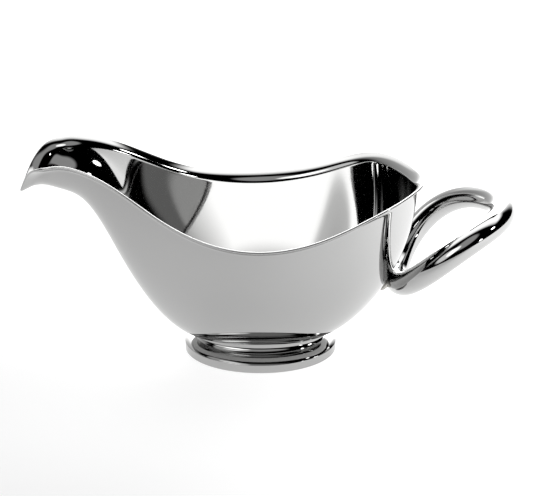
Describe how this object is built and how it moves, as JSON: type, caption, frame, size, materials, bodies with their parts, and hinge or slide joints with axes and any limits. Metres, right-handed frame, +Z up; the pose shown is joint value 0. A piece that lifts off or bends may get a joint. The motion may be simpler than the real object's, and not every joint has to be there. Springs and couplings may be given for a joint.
{
  "type": "gravy boat",
  "caption": "Gravy boat in polished steel: deep oval bowl with flared rim and drawn-out pouring spout, on a waisted oval foot, with a tilted ring handle opposite the spout.",
  "frame": {"origin": "middle of the overall length and width, on the table under the foot", "axes": "+Z up from the table, +X from the spout towards the handle, Y across the boat, which is symmetric about Y = 0"},
  "size_m": [0.2348, 0.091, 0.1063],
  "materials": {
    "polished_steel": "polished",
    "braze": "satin"
  },
  "bodies": {
    "root": {"bowl": "polished_steel", "foot_ring": "polished_steel", "handle": "polished_steel", "foot_braze": "braze", "handle_braze": "braze"}
  },
  "joints": []
}
